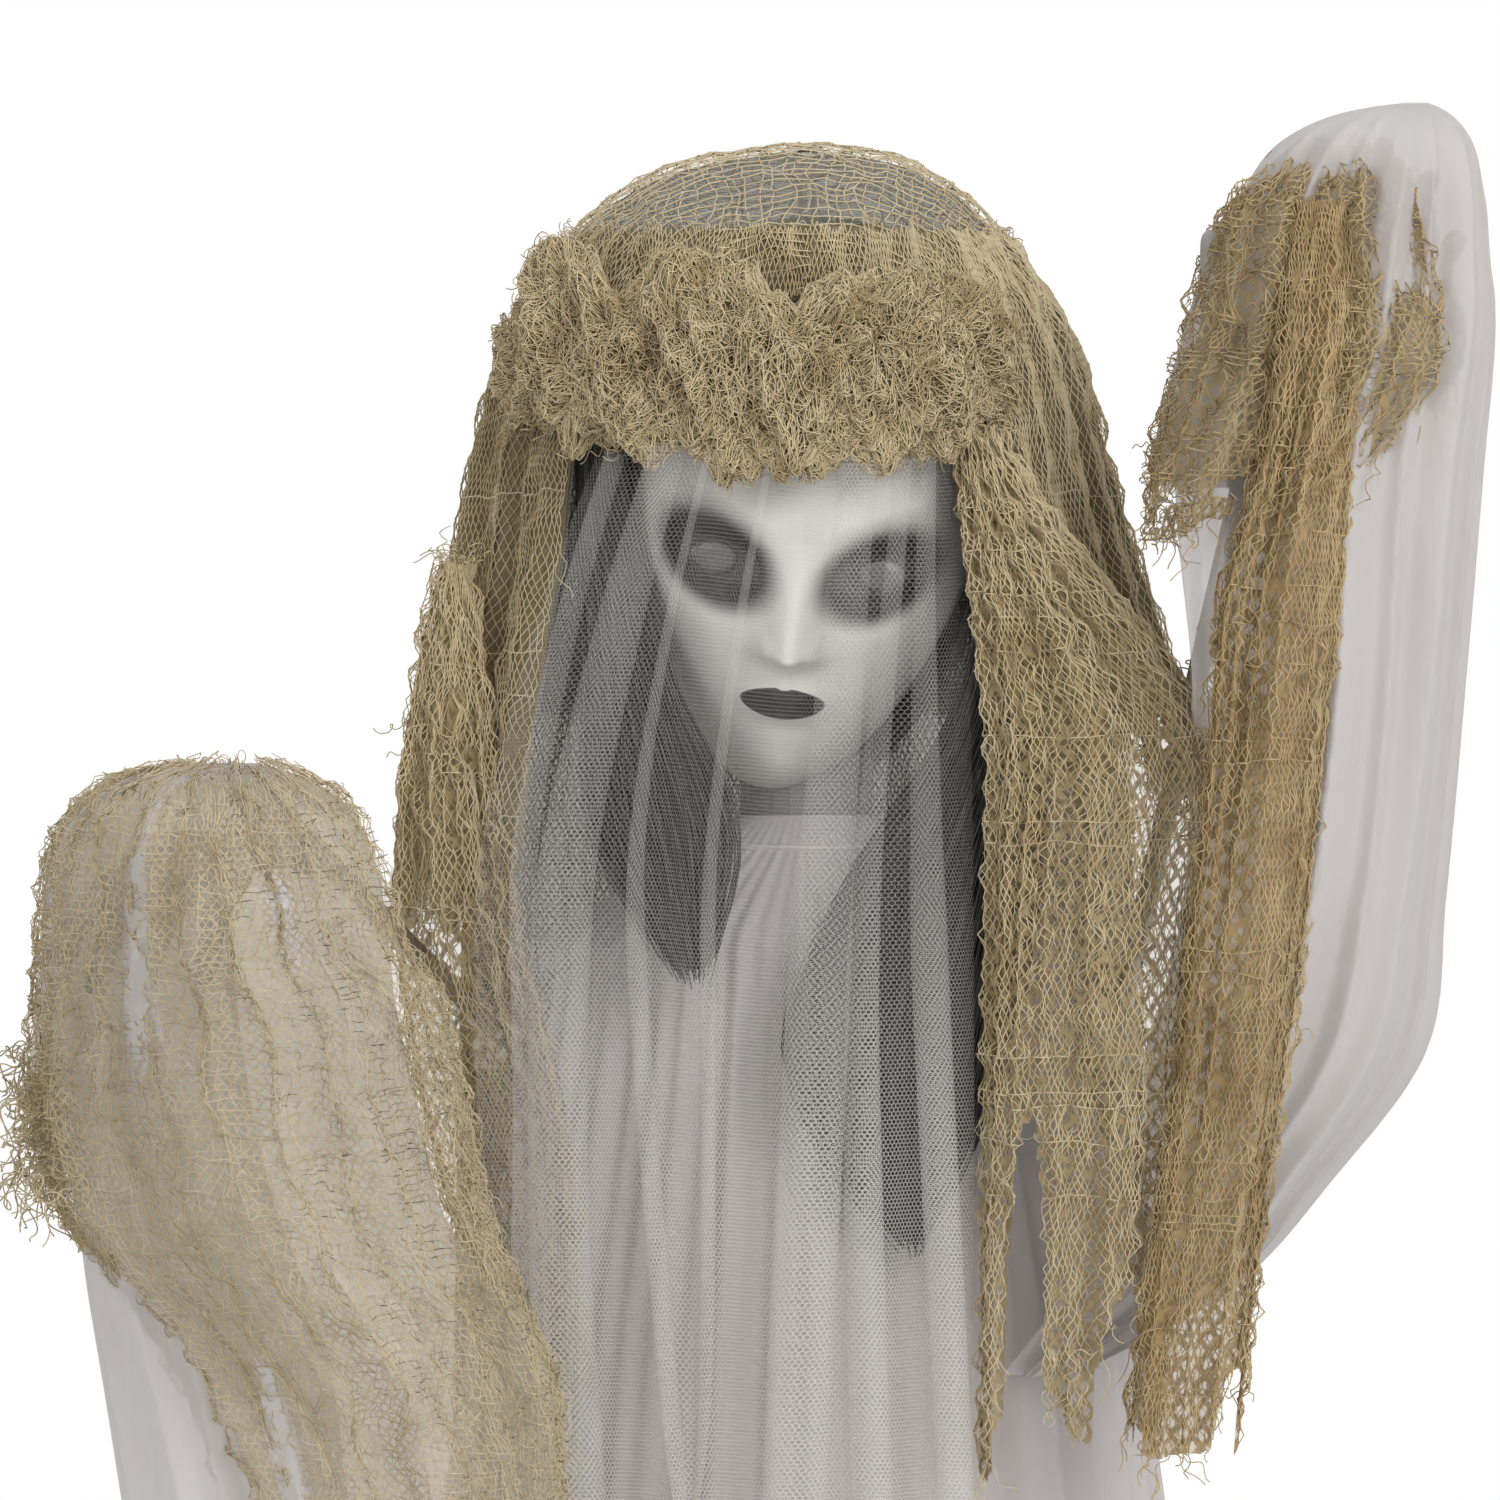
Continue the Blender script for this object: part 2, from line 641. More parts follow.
def tray(name, low, high, wall, open_side, look):
    """A box with walls on five sides, open towards -1 or +1 along Y."""
    low = Vector(low)
    high = Vector(high)
    piece = block(name, low, high, look)
    inner_low = low + Vector((wall, wall, wall))
    inner_high = high - Vector((wall, wall, wall))
    if open_side > 0:
        inner_high.y = high.y + CUT_OVERRUN
    else:
        inner_low.y = low.y - CUT_OVERRUN
    return cut(piece, block(name + "_hollow", inner_low, inner_high))


def make_housing():
    """Front and rear chest shells, cut for shafts, rod, sensor, speaker, button, switch and screws."""
    wide = HOUSING_HALF_WIDTH
    front = tray("mech_front_shell", (-wide, -HOUSING_HALF_DEPTH, HOUSING_BOTTOM_Z),
                 (wide, -GAP / 2, HOUSING_TOP_Z), HOUSING_WALL, 1, BLACK_PLASTIC)
    rear = tray("mech_rear_shell", (-wide, GAP / 2, HOUSING_BOTTOM_Z),
                (wide, HOUSING_HALF_DEPTH, HOUSING_TOP_Z), HOUSING_WALL, -1, BLACK_PLASTIC)
    bush_cutter = rod_between("bush_cutter", -wide - CUT_OVERRUN, wide + CUT_OVERRUN, (0, 0, SHAFT_Z), "X",
                              BUSH_RADIUS + GAP)
    rod_cutter = rod_hole("housing_rod_cutter", ROD_RADIUS + GAP, HOUSING_TOP_Z - HOUSING_WALL - CUT_OVERRUN,
                          HOUSING_TOP_Z + CUT_OVERRUN)
    for shell in (front, rear):
        cut(shell, bush_cutter)
        cut(shell, rod_cutter)
    wall_low = -HOUSING_HALF_DEPTH - CUT_OVERRUN
    cut(front, rod_between("sensor_cutter", wall_low, wall_low + CUT_OVERRUN * 2 + HOUSING_WALL,
                           (SENSOR_PLACE_X, 0, CONTROL_Z), "Y", SENSOR_RADIUS + GAP))
    slot_half = SPEAKER_RADIUS * 0.6
    for k in (-1, 0, 1):
        x = -SENSOR_PLACE_X + k * 3 * SPEAKER_SLOT_WIDTH
        cut(front, block("speaker_slot_%d" % (k + 2), (x - SPEAKER_SLOT_WIDTH / 2, wall_low, SPEAKER_Z - slot_half),
                         (x + SPEAKER_SLOT_WIDTH / 2, -HOUSING_HALF_DEPTH + HOUSING_WALL + CUT_OVERRUN,
                          SPEAKER_Z + slot_half)))
    wall_high = HOUSING_HALF_DEPTH - HOUSING_WALL - CUT_OVERRUN
    outside = HOUSING_HALF_DEPTH + CUT_OVERRUN
    cut(rear, rod_between("button_cutter", wall_high, outside, (BOARD_PLACE_X, 0, CONTROL_Z), "Y",
                          BUTTON_RADIUS + RUN))
    slot_half_width = SWITCH_WIDTH / 2 + SWITCH_TRAVEL / 2 + RUN
    slot_middle = SWITCH_PLACE_X + SWITCH_TRAVEL / 2
    cut(rear, block("switch_cutter", (slot_middle - slot_half_width, wall_high, CONTROL_Z - SWITCH_HEIGHT / 2 - RUN),
                    (slot_middle + slot_half_width, outside, CONTROL_Z + SWITCH_HEIGHT / 2 + RUN)))
    for k, (sx, sz) in enumerate(((-1, 0), (1, 0), (-1, 1))):
        x = sx * (wide - 3 * SCREW_HEAD_RADIUS)
        z = HOUSING_TOP_Z - 3 * SCREW_HEAD_RADIUS - sz * (HOUSING_HEIGHT - 6 * SCREW_HEAD_RADIUS)
        cut(rear, rod_between("screw_cutter_%d" % (k + 1), wall_high, outside, (x, 0, z), "Y",
                              SCREW_SHANK_RADIUS + GAP))
        head_low = HOUSING_HALF_DEPTH + GAP
        turned("shell_screw_%d" % (k + 1),
               ((0, head_low - SCREW_LENGTH), (SCREW_SHANK_RADIUS, head_low - SCREW_LENGTH),
                (SCREW_SHANK_RADIUS, head_low), (SCREW_HEAD_RADIUS, head_low),
                (SCREW_HEAD_RADIUS * 0.8, head_low + SCREW_HEAD_HEIGHT), (0, head_low + SCREW_HEAD_HEIGHT)),
               (x, 0, z), "Y", STEEL, 12)


def pitch_radius(teeth):
    """The rolling radius of a gear."""
    return GEAR_MODULE * teeth / 2


DRIVE_Z = SHAFT_Z - pitch_radius(LEFT_GEAR_TEETH) - pitch_radius(LEFT_PINION_TEETH)
SPEAKER_Z = SHAFT_Z - SPEAKER_RADIUS * 0.2


def idler_place():
    """Where the idler's axis lies so that it meets the right pinion and the right gear."""
    to_gear = pitch_radius(RIGHT_GEAR_TEETH) + pitch_radius(IDLER_TEETH)
    to_pinion = pitch_radius(RIGHT_PINION_TEETH) + pitch_radius(IDLER_TEETH)
    apart = SHAFT_Z - DRIVE_Z
    down = (to_gear**2 - to_pinion**2 + apart**2) / (2 * apart)
    return math.sqrt(to_gear**2 - down**2), SHAFT_Z - down


IDLER_Y, IDLER_Z = idler_place()


def mate_phase(phase, teeth, place, other_teeth, other_place):
    """The phase that sets the other gear's gap against this gear's tooth. Places are (y, z)."""
    towards = math.atan2(other_place[1] - place[1], other_place[0] - place[0])
    slip = pitch_radius(teeth) * (phase - towards) + math.pi * GEAR_MODULE / 2
    return towards + math.pi - slip / pitch_radius(other_teeth)


TOOTH_TIP_SHARE = 0.80
TOOTH_ROOT_SHARE = 1.15
TOOTH_TIP_WIDTH_SHARE = 0.17
TOOTH_ROOT_WIDTH_SHARE = 0.56


def gear(name, teeth, place, phase, x_middle, bore):
    """A spur gear across X with straight-sided teeth and running play, bored for its shaft."""
    bm = bmesh.new()
    pitch = TURN / teeth
    tip = pitch_radius(teeth) + GEAR_MODULE * TOOTH_TIP_SHARE
    root = pitch_radius(teeth) - GEAR_MODULE * TOOTH_ROOT_SHARE
    outline = []
    for k in range(teeth):
        middle = phase + k * pitch
        for radius, width in ((root, -TOOTH_ROOT_WIDTH_SHARE), (tip, -TOOTH_TIP_WIDTH_SHARE),
                              (tip, TOOTH_TIP_WIDTH_SHARE), (root, TOOTH_ROOT_WIDTH_SHARE)):
            angle = middle + pitch * width / 2
            outline.append((radius * math.cos(angle), radius * math.sin(angle)))
    hole = [(bore * math.cos(TURN * k / 16), bore * math.sin(TURN * k / 16)) for k in range(16)]
    faces = []
    for x in (x_middle - GEAR_WIDTH / 2, x_middle + GEAR_WIDTH / 2):
        loops = []
        for points in (outline, hole):
            verts = [bm.verts.new((x, place[0] + y, place[1] + z)) for y, z in points]
            edges = [bm.edges.new((a, b)) for a, b in zip(verts, verts[1:] + verts[:1])]
            loops.append((verts, edges))
        bmesh.ops.triangle_fill(bm, use_beauty=True, edges=loops[0][1] + loops[1][1])
        faces.append(loops)
    for near, far in zip(*faces):
        count = len(near[0])
        for k in range(count):
            n = (k + 1) % count
            bm.faces.new((near[0][k], near[0][n], far[0][n], far[0][k]))
    return put(name, bm, NYLON, smooth=False)


def make_drive():
    """Gears, shafts, bushes, bracket, motor and the plate that carries it."""
    shaft_place = (0, SHAFT_Z)
    drive_place = (0, DRIVE_Z)
    idler_at = (IDLER_Y, IDLER_Z)
    shaft_bore = SHAFT_RADIUS + GAP
    left_phase = 0
    gear("arm_gear_left", LEFT_GEAR_TEETH, shaft_place, left_phase, GEAR_PLACE_X, shaft_bore)
    pinion_phase = mate_phase(left_phase, LEFT_GEAR_TEETH, shaft_place, LEFT_PINION_TEETH, drive_place)
    gear("drive_pinion_left", LEFT_PINION_TEETH, drive_place, pinion_phase, GEAR_PLACE_X, DRIVE_SHAFT_RADIUS + GAP)
    gear("drive_pinion_right", RIGHT_PINION_TEETH, drive_place, 0, -GEAR_PLACE_X, DRIVE_SHAFT_RADIUS + GAP)
    idler_phase = mate_phase(0, RIGHT_PINION_TEETH, drive_place, IDLER_TEETH, idler_at)
    gear("idler_gear", IDLER_TEETH, idler_at, idler_phase, -GEAR_PLACE_X, IDLER_PIN_RADIUS + GAP)
    right_phase = mate_phase(idler_phase, IDLER_TEETH, idler_at, RIGHT_GEAR_TEETH, shaft_place)
    gear("arm_gear_right", RIGHT_GEAR_TEETH, shaft_place, right_phase, -GEAR_PLACE_X, shaft_bore)

    half = BRACKET_THICKNESS / 2
    tallest = SHAFT_Z + BUSH_RADIUS
    bracket = block("gear_bracket", (-half, -BRACKET_HALF_DEPTH, FLOOR_Z + GAP), (half, BRACKET_HALF_DEPTH, tallest))
    for label, place, radius in (("shaft", shaft_place, SHAFT_RADIUS), ("drive", drive_place, DRIVE_SHAFT_RADIUS)):
        cut(bracket, rod_between("bracket_%s_cutter" % label, -half - CUT_OVERRUN, half + CUT_OVERRUN,
                                 (0, *place), "X", radius + GAP))
    shaft_end = half / 4
    shaft_far = HUB_INNER_X + HUB_LENGTH + EDGE_ROUND
    for side, label in ((1, "left"), (-1, "right")):
        ends = sorted((side * shaft_end, side * shaft_far))
        rod_between("shoulder_shaft_" + label, ends[0], ends[1], (0, *shaft_place), "X", SHAFT_RADIUS)
        wall_in = HOUSING_HALF_WIDTH - HOUSING_WALL
        profile = ((SHAFT_RADIUS + GAP, wall_in - BUSH_FLANGE), (BUSH_RADIUS + BUSH_WALL, wall_in - BUSH_FLANGE),
                   (BUSH_RADIUS + BUSH_WALL, wall_in - GAP), (BUSH_RADIUS, wall_in - GAP),
                   (BUSH_RADIUS, HOUSING_HALF_WIDTH + BUSH_FLANGE), (SHAFT_RADIUS + GAP, HOUSING_HALF_WIDTH + BUSH_FLANGE))
        turned("shoulder_bush_" + label, [(r, side * a) for r, a in profile], (0, *shaft_place), "X", NYLON)
    drive_end = GEAR_PLACE_X + GEAR_WIDTH
    rod_between("drive_shaft", -drive_end, MOTOR_PLACE_X + MOTOR_PLATE_THICKNESS, (0, *drive_place), "X",
                DRIVE_SHAFT_RADIUS)
    pin = rod_between("idler_pin", -GEAR_PLACE_X - GEAR_WIDTH, 0, (0, *idler_at), "X", IDLER_PIN_RADIUS, STEEL, 12)
    cut(bracket, pin, "UNION")
    plate = block("motor_plate", (MOTOR_PLACE_X, -BRACKET_HALF_DEPTH, FLOOR_Z + GAP),
                  (MOTOR_PLACE_X + MOTOR_PLATE_THICKNESS, BRACKET_HALF_DEPTH, DRIVE_Z + MOTOR_RADIUS), STEEL)
    cut(plate, rod_between("plate_cutter", MOTOR_PLACE_X - CUT_OVERRUN,
                           MOTOR_PLACE_X + MOTOR_PLATE_THICKNESS + CUT_OVERRUN, (0, *drive_place), "X",
                           DRIVE_SHAFT_RADIUS + GAP))
    motor_low = MOTOR_PLACE_X + MOTOR_PLATE_THICKNESS + GAP
    rod_between("arm_gearmotor", motor_low, motor_low + MOTOR_LENGTH, (0, *drive_place), "X", MOTOR_RADIUS, STEEL, 20)


def make_controls():
    """Circuit board, speaker, motion sensor, try button with its spring, and the slide switch."""
    board_low = (BOARD_PLACE_X - BOARD_WIDTH / 2, BOARD_PLACE_Y, FLOOR_Z + GAP)
    board_high = (BOARD_PLACE_X + BOARD_WIDTH / 2, BOARD_PLACE_Y + BOARD_THICKNESS, FLOOR_Z + BOARD_HEIGHT)
    block("circuit_board", board_low, board_high, BOARD_GREEN)
    inner_wall = HOUSING_HALF_DEPTH - HOUSING_WALL
    speaker_low = -inner_wall + GAP
    turned("speaker", ((0, speaker_low), (SPEAKER_RADIUS, speaker_low), (SPEAKER_RADIUS, speaker_low + BUSH_WALL),
                       (SPEAKER_RADIUS / 2, speaker_low + SPEAKER_DEPTH), (0, speaker_low + SPEAKER_DEPTH)),
           (-SENSOR_PLACE_X, 0, SPEAKER_Z), "Y", BLACK_PLASTIC, 24)
    tip = -HOUSING_HALF_DEPTH - SENSOR_REACH
    turned("motion_sensor", ((0, tip), (SENSOR_RADIUS * 0.6, tip + SENSOR_REACH * 0.2),
                             (SENSOR_RADIUS, tip + SENSOR_REACH * 0.6), (SENSOR_RADIUS, speaker_low),
                             (SENSOR_RADIUS + SENSOR_FLANGE, speaker_low),
                             (SENSOR_RADIUS + SENSOR_FLANGE, speaker_low + SENSOR_FLANGE),
                             (0, speaker_low + SENSOR_FLANGE)),
           (SENSOR_PLACE_X, 0, CONTROL_Z), "Y", LENS_WHITE, 16)
    flange_high = inner_wall - GAP
    flange_low = flange_high - BUTTON_FLANGE_THICKNESS
    cap = HOUSING_HALF_DEPTH + BUTTON_REACH
    turned("try_button", ((0, flange_low), (BUTTON_RADIUS + BUTTON_FLANGE, flange_low),
                          (BUTTON_RADIUS + BUTTON_FLANGE, flange_high), (BUTTON_RADIUS, flange_high),
                          (BUTTON_RADIUS, cap - EDGE_ROUND), (BUTTON_RADIUS - EDGE_ROUND, cap), (0, cap)),
           (BOARD_PLACE_X, 0, CONTROL_Z), "Y", ((0.7, 0.1, 0.08), 0.4, 0.0), 20)
    tube_between("try_spring", BOARD_PLACE_Y + BOARD_THICKNESS + GAP, flange_low - GAP,
                 (BOARD_PLACE_X, 0, CONTROL_Z), "Y", SPRING_RADIUS - SPRING_WIRE, SPRING_RADIUS, STEEL, 16)
    knob = block("switch_slider", (SWITCH_PLACE_X - SWITCH_WIDTH / 2, flange_low + EDGE_ROUND, CONTROL_Z - SWITCH_HEIGHT / 2),
                 (SWITCH_PLACE_X + SWITCH_WIDTH / 2, HOUSING_HALF_DEPTH + SWITCH_REACH, CONTROL_Z + SWITCH_HEIGHT / 2))
    flange_half = SWITCH_WIDTH / 2 + SWITCH_TRAVEL
    cut(knob, block("switch_flange", (SWITCH_PLACE_X - flange_half, flange_low, CONTROL_Z - SWITCH_FLANGE_HEIGHT / 2),
                    (SWITCH_PLACE_X + flange_half, flange_high, CONTROL_Z + SWITCH_FLANGE_HEIGHT / 2)), "UNION")


CELL_PITCH = 2 * CELL_RADIUS + RUN
BATTERY_TOP_Z = HOUSING_BOTTOM_Z - GAP
BATTERY_INNER_HALF = CELL_LENGTH / 2 + BATTERY_END_ROOM
BATTERY_HEIGHT = CELL_COUNT * CELL_PITCH + RUN + 2 * BATTERY_WALL
DOOR_Y = CELL_RADIUS + RUN


def make_battery_box():
    """Battery box, its cells, and the door that slides down in its grooves."""
    outer = BATTERY_INNER_HALF + BATTERY_WALL
    front = -CELL_RADIUS - RUN - BATTERY_WALL
    back = DOOR_Y + RUN + DOOR_THICKNESS + RUN + BATTERY_WALL / 2
    low_z = BATTERY_TOP_Z - BATTERY_HEIGHT
    box = tray("battery_box", (-outer, front, low_z), (outer, back, BATTERY_TOP_Z), BATTERY_WALL, 1, BLACK_PLASTIC)
    groove = BATTERY_INNER_HALF + DOOR_GROOVE
    groove_top = BATTERY_TOP_Z - BATTERY_WALL / 2
    way = BATTERY_INNER_HALF - GAP
    cut(box, block("groove_cutter", (-groove, DOOR_Y, low_z - CUT_OVERRUN),
                   (groove, DOOR_Y + 2 * RUN + DOOR_THICKNESS, groove_top)))
    cut(box, block("door_way_cutter", (-way, DOOR_Y + RUN, low_z - CUT_OVERRUN),
                   (way, back + CUT_OVERRUN, low_z + 2 * BATTERY_WALL)))
    door_half = groove - RUN
    door_top = groove_top - GAP
    door = block("battery_door", (-door_half, DOOR_Y + RUN, low_z), (door_half, DOOR_Y + RUN + DOOR_THICKNESS, door_top))
    grip_half = BATTERY_INNER_HALF / 3
    grip_z = low_z + BATTERY_HEIGHT / 4
    cut(door, block("door_grip", (-grip_half, DOOR_Y + RUN + DOOR_THICKNESS / 2, grip_z),
                    (grip_half, DOOR_Y + RUN + DOOR_THICKNESS + DOOR_GRIP_HEIGHT, grip_z + BATTERY_WALL)), "UNION")
    for k in range(CELL_COUNT):
        z = low_z + BATTERY_WALL + RUN + CELL_RADIUS + k * CELL_PITCH
        half = CELL_LENGTH / 2
        nub = CELL_RADIUS * 0.38
        turned("battery_cell_%d" % (k + 1), ((0, -half), (CELL_RADIUS, -half), (CELL_RADIUS, half - EDGE_ROUND),
                                             (nub, half - EDGE_ROUND), (nub, half), (0, half)),
               (0, 0, z), "X", CELL_GREY, 16)


# Arms and hands

def bar(name, start, end, radius, look, sides=12):
    """A round bar between two points."""
    bm = bmesh.new()
    way = end - start
    turn = way.to_track_quat("Z", "Y").to_matrix().to_4x4()
    bmesh.ops.create_cone(bm, cap_ends=True, segments=sides, radius1=radius, radius2=radius, depth=way.length,
                          matrix=Matrix.Translation((start + end) / 2) @ turn)
    return put(name, bm, look)


def inside_out(mesh):
    """True where a closed mesh encloses a negative volume."""
    total = 0
    mesh.calc_loop_triangles()
    for triangle in mesh.loop_triangles:
        a, b, c = (mesh.vertices[k].co for k in triangle.vertices)
        total += a.dot(b.cross(c))
    return total < 0


def hand(name, wrist, along, across, curl, look):
    """A moulded hand: palm and five fingers grown over a branching skeleton."""
    along = along.normalized()
    across = (across - along * across.dot(along)).normalized()
    normal = along.cross(across)
    points = [wrist]
    radii = [(WRIST_RADIUS, WRIST_RADIUS * 0.62)]
    bones = []

    def add(parent, place, wide, thick):
        points.append(place)
        radii.append((wide, thick))
        bones.append((parent, len(points) - 1))
        return len(points) - 1

    palm = add(0, wrist + along * PALM_LENGTH * 0.45, PALM_HALF_WIDTH * 0.60, FINGER_RADIUS * 1.7)
    thumb = add(palm, wrist + along * PALM_LENGTH * 0.62 + across * PALM_HALF_WIDTH * 1.15,
                FINGER_RADIUS * 1.15, FINGER_RADIUS * 1.15)
    add(thumb, wrist + along * PALM_LENGTH * 1.02 + across * PALM_HALF_WIDTH * 1.75 + normal * FINGER_RADIUS,
        FINGER_RADIUS * 0.8, FINGER_RADIUS * 0.8)
    for k in range(4):
        spot = (1.5 - k) / 1.5
        size = (0.92, 1.0, 0.94, 0.76)[k]
        knuckle = wrist + along * PALM_LENGTH * (0.98 - 0.05 * spot * spot) + across * PALM_HALF_WIDTH * 0.72 * spot
        first = add(palm, knuckle, FINGER_RADIUS * 1.1, FINGER_RADIUS * 1.05)
        fan = (along + across * 0.16 * spot).normalized()
        for step in (1, 2, 3):
            bend = curl * (0.5 if step == 1 else 1.0)
            fan = (fan * math.cos(bend) + normal * math.sin(bend)).normalized()
            reach = FINGER_LENGTH * size * (0.42, 0.33, 0.25)[step - 1]
            knuckle = knuckle + fan * reach
            first = add(first, knuckle, FINGER_RADIUS * (1 - 0.10 * step), FINGER_RADIUS * (1 - 0.10 * step))
    mesh = bpy.data.meshes.new(name)
    mesh.from_pydata(points, bones, [])
    piece = bpy.data.objects.new(name, mesh)
    bpy.context.collection.objects.link(piece)
    skin = piece.modifiers.new("skin", "SKIN")
    skin.branch_smoothing = 0.4
    for vert, (wide, thick) in zip(mesh.skin_vertices[0].data, radii):
        vert.radius = (wide, thick)
    mesh.skin_vertices[0].data[0].use_root = True
    grown = bpy.data.meshes.new_from_object(piece.evaluated_get(bpy.context.evaluated_depsgraph_get()))
    bpy.data.objects.remove(piece, do_unlink=True)
    bm = bmesh.new()
    bm.from_mesh(grown)
    piece = put(name, bm, look)
    if piece.data.polygons and inside_out(piece.data):
        piece.data.flip_normals()
    return piece


def make_arm(side, label, wrist_offset, across, curl, reach):
    """One arm: hub on the shoulder shaft, wire arm and hand."""
    inner = HUB_INNER_X
    outer = HUB_INNER_X + HUB_LENGTH
    profile = ((SHAFT_RADIUS + GAP, inner), (HUB_RADIUS, inner), (HUB_RADIUS, outer), (SHAFT_RADIUS + GAP, outer))
    hub = turned("shoulder_hub_" + label, [(r, side * a) for r, a in profile], (0, 0, SHAFT_Z), "X", NYLON, 20)
    shoulder = Vector((side * (inner + outer) / 2, 0, SHAFT_Z))
    wrist = shoulder + wrist_offset
    way = wrist_offset.normalized()
    socket_floor = shoulder + way * (SHAFT_RADIUS + ARM_SOCKET_FLOOR)
    palm_start = wrist + way * WRIST_RADIUS * HAND_START_SHARE
    socket_end = palm_start + way * HAND_SOCKET_DEPTH
    bar("arm_rod_" + label, socket_floor + way * GAP, socket_end - way * GAP, ARM_ROD_RADIUS, STEEL)
    cut(hub, bar("hub_socket", socket_floor, wrist, ARM_ROD_RADIUS + GAP, NYLON))
    piece = hand("hand_" + label, palm_start, reach, across, curl, HAND_GREY)
    cut(piece, bar("hand_socket", shoulder + wrist_offset / 2, socket_end, ARM_ROD_RADIUS + GAP, HAND_GREY))


# Cloth

def wave(angle, count, lean=0.7):
    """Uneven folds round a ring, from -1 to 1."""
    return 0.72 * math.sin(count * angle + lean) + 0.28 * math.sin((count + 3) * angle - lean)


ROBE_NECK_SHARE = 0.38
ROBE_TOP_Z = NECK_TOP_Z - ROBE_NECK_SHARE * (NECK_TOP_Z - HOUSING_TOP_Z)
ROBE_SHARES = (
    (0, 0, 0, 0, 0),
    (0.012, 0.20, 0, 0.25, 0),
    (0.029, 0.62, 0, 0.62, 0),
    (0.046, 0.98, 0, 0.96, 0),
    (0.059, 1, 0, 1, 0),
    (0.110, 1, 0.08, 1, 0.06),
    (0.210, 1, 0.28, 1, 0.22),
    (0.400, 1, 0.52, 1, 0.50),
    (0.700, 1, 0.80, 1, 0.80),
    (1, 1, 1, 1, 1),
)
ROBE_ROW_SHARES = (0.0, 0.012, 0.029, 0.046, 0.16, 0.235, 0.335, 0.46, 0.60, 0.77, 1)


def robe_halves(down):
    """Half width and half depth of the robe at a share of its length."""
    neck = NECK_RADIUS + GAP + CLOTH / 2
    a, b, c, d = smooth_row(ROBE_SHARES, down)
    wide = neck + a * (ROBE_SHOULDER_HALF_WIDTH - neck) + b * (ROBE_HEM_HALF_WIDTH - ROBE_SHOULDER_HALF_WIDTH)
    deep = neck + c * (ROBE_CHEST_HALF_DEPTH - neck) + d * (ROBE_HEM_HALF_DEPTH - ROBE_CHEST_HALF_DEPTH)
    return wide, deep


def robe_point(down, across):
    """A point of the robe."""
    wide, deep = robe_halves(down)
    angle = TURN * across - math.pi
    ripple = ROBE_FOLD * max(down - 0.12, 0) / 0.88 * wave(angle, 8)
    return ring_point(ROBE_TOP_Z - ROBE_LENGTH * down, angle, (0, 0), (wide, wide, deep, deep), ripple)


def make_robe():
    """The long robe, hung from the neck, with an armhole at each shoulder shaft."""
    top = (ROBE_TOP_Z - SHAFT_Z - ARMHOLE_HALF_HEIGHT) / ROBE_LENGTH
    bottom = (ROBE_TOP_Z - SHAFT_Z + ARMHOLE_HALF_HEIGHT) / ROBE_LENGTH
    downs = sorted(set(ROBE_ROW_SHARES + (top, bottom)))

    def armhole(down, across):
        angle = TURN * across - math.pi
        return top < down < bottom and abs(math.cos(angle)) < 0.27

    sheet("robe", robe_point, downs, 24, WHITE_SHEER, closed=True, skip=armhole)


EYE_TOP_Z = 2 * EYE_WIRE_RADIUS
HOOD_TOP_Z = EYE_TOP_Z + 3 * GAP + CLOTH / 2
HOOD_SHARES = (
    (0, 0.02, 0.02, 0.03, 0.03),
    (0.022, 0.24, 0.21, 0.27, 0.35),
    (0.066, 0.41, 0.34, 0.46, 0.54),
    (0.130, 0.53, 0.44, 0.64, 0.73),
    (0.180, 0.59, 0.50, 0.76, 0.82),
    (0.330, 0.705, 0.63, 0.84, 0.96),
    (0.525, 0.774, 0.705, 0.86, 1.00),
    (0.680, 0.805, 0.763, 0.87, 1.00),
    (0.850, 0.858, 0.840, 0.88, 1.00),
    (1.000, 0.900, 0.900, 0.90, 1.02),
    (1.250, 0.940, 0.930, 0.90, 1.05),
    (2.000, 0.970, 0.970, 0.90, 1.20),
    (2.600, 1.000, 1.000, 0.90, 1.30),
)
HOOD_LEFT_HEM_SHARE = 1.25
HOOD_ROW_SHARES = (0.0, 0.022, 0.066, 0.120, 0.330, 0.525, 0.680, 0.850, 1.0, 1.25, 1.6, 2.0)


def hood_ring(share, angle):
    """A point of the hood at a share of its side drop."""
    left, right, front, back = smooth_row(HOOD_SHARES, share)
    halves = (HOOD_HALF_WIDTH * left, HOOD_HALF_WIDTH * right, HOOD_HALF_DEPTH * front, HOOD_HALF_DEPTH * back)
    ripple = HOOD_FOLD * min(share, 1) * wave(angle, 8)
    return ring_point(HOOD_TOP_Z - HOOD_SIDE_DROP * share, angle, (0, 0), halves, ripple)


def make_hood():
    """The cheesecloth over the head: open over the face, short at the arms, long at the back."""
    wreath_row = (HOOD_TOP_Z - WREATH_TOP_Z - CLOTH / 2 - GAP) / HOOD_SIDE_DROP
    wreath_end = (HOOD_TOP_Z - WREATH_TOP_Z + 2 * WREATH_HALF_HEIGHT) / HOOD_SIDE_DROP
    back_row = HOOD_BACK_DROP / HOOD_SIDE_DROP
    downs = sorted(set(HOOD_ROW_SHARES + (wreath_row, wreath_end, back_row)) - {0.525})

    def open_part(down, across):
        degrees = math.degrees(TURN * across - math.pi)
        if wreath_row < down < wreath_end and -75 < degrees < 60:
            return True
        if down > wreath_end and -46 < degrees < 30:
            return True
        if down > 1 and 30 < degrees < 118:
            return True
        return down > HOOD_LEFT_HEM_SHARE and -118 < degrees < -46

    def place(down, across):
        return hood_ring(down, TURN * across - math.pi)

    sheet("hood", place, [0.0] + downs[1:], 24, CHEESECLOTH, closed=True, skip=open_part, apex=True)


